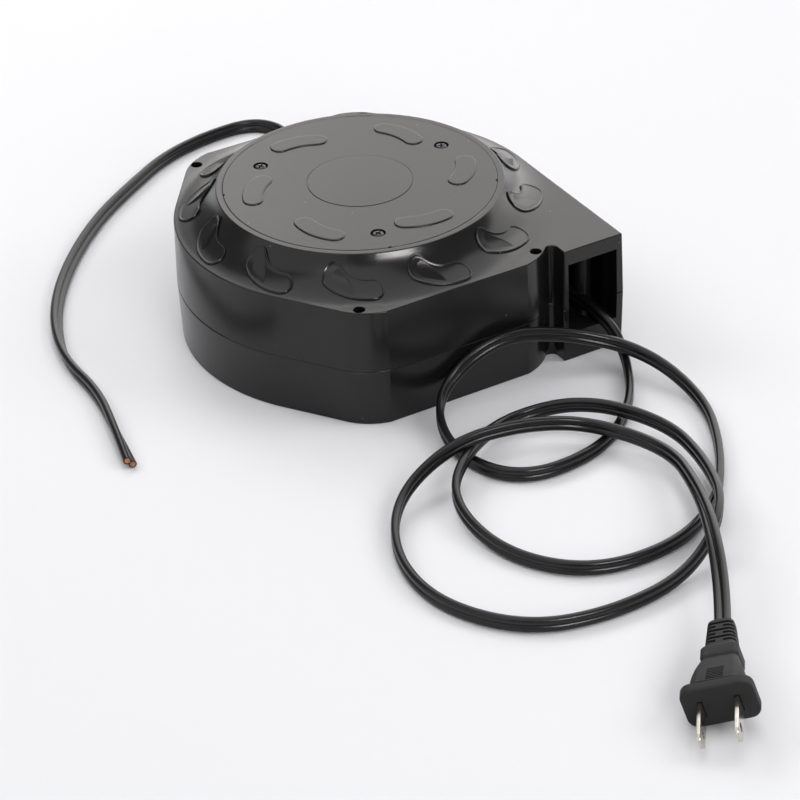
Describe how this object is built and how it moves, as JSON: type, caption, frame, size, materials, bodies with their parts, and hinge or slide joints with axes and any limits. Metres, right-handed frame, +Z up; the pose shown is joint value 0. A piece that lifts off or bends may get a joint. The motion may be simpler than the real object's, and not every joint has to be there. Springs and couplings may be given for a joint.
{
  "type": "extension cord reel",
  "caption": "Low casing with mounting ears around a spring-wound cord drum; a flat cord with a plug leaves a front mouth and a bare-ended supply lead leaves the back wall.",
  "frame": {"origin": "on the drum axis, at the casing's flat underside", "axes": "+Z up along the drum axis, out of the round cover; -Y out of the wall with the cord mouth; +X towards the side that the mouth is on"},
  "size_m": [0.2084, 0.4796, 0.0621],
  "materials": {
    "casing_plastic": "fine-textured moulded black",
    "cover_plastic": "fine-textured moulded black",
    "label_plastic": "smooth bare disc",
    "drum_plastic": "moulded dark grey",
    "insulator": "phenolic brown",
    "steel": "zinc plated",
    "dark_steel": "blackened screws",
    "spring_steel": "blue tempered strip",
    "bush_bronze": "oil bronze",
    "brass": "plain",
    "brush_carbon": "carbon",
    "roller_plastic": "smooth",
    "cord_jacket": "matt black cord",
    "plug_plastic": "moulded plug",
    "blade_nickel": "nickel plated",
    "copper": "bare copper",
    "grommet_rubber": "soft black"
  },
  "bodies": {
    "casing": {"lower_casing": "casing_plastic", "upper_casing": "casing_plastic", "spring_cover": "cover_plastic", "cover_label": "label_plastic", "cover_screws": "dark_steel", "casing_screws": "dark_steel", "spindle": "steel", "brush_inner": "brush_carbon", "brush_outer": "brush_carbon", "brush_springs": "steel", "brush_holder": "insulator", "small_screws": "steel", "spring_case": "steel", "mainspring": "spring_steel", "pawl_pin": "steel", "pawl_spring": "steel", "roller_pins": "steel", "inner_cord": "cord_jacket", "plug_cord": "cord_jacket", "plug_body": "plug_plastic", "plug_blades": "blade_nickel", "plug_strain_relief": "plug_plastic", "lead_grommet": "grommet_rubber", "lead_clamp": "drum_plastic", "lead_inner": "cord_jacket", "fixed_lead": "cord_jacket", "lead_wires": "copper", "lead_cores": "copper"},
    "drum": {"drum_core": "drum_plastic", "flange_screws": "steel", "drum_lower_flange": "drum_plastic", "drum_upper_flange": "drum_plastic", "lower_bush": "bush_bronze", "upper_bush": "bush_bronze", "slip_ring_carrier": "insulator", "slip_ring_inner": "brass", "slip_ring_outer": "brass", "spring_arbor": "steel", "wound_cord": "cord_jacket", "cord_anchor": "drum_plastic"},
    "pawl": {"ratchet_pawl": "steel"},
    "roller_left": {"guide_roller_left": "roller_plastic"},
    "roller_right": {"guide_roller_right": "roller_plastic"}
  },
  "joints": [
    {"name": "drum_spin", "type": "hinge", "parent": "casing", "child": "drum", "pos_m": [0, 0, 0.03], "axis": [0, 0, 1], "range_deg": [-4680, 1380]},
    {"name": "pawl_swing", "type": "hinge", "parent": "casing", "child": "pawl", "pos_m": [-0.0668, 0, 0.0086], "axis": [0, 0, 1], "range_deg": [-9, 0], "stiffness_Nm_per_rad": 0.005},
    {"name": "roller_left_spin", "type": "hinge", "parent": "casing", "child": "roller_left", "pos_m": [0.0554, -0.056, 0.028], "axis": [0, 0, 1], "continuous": true},
    {"name": "roller_right_spin", "type": "hinge", "parent": "casing", "child": "roller_right", "pos_m": [0.0676, -0.056, 0.028], "axis": [0, 0, 1], "continuous": true}
  ]
}
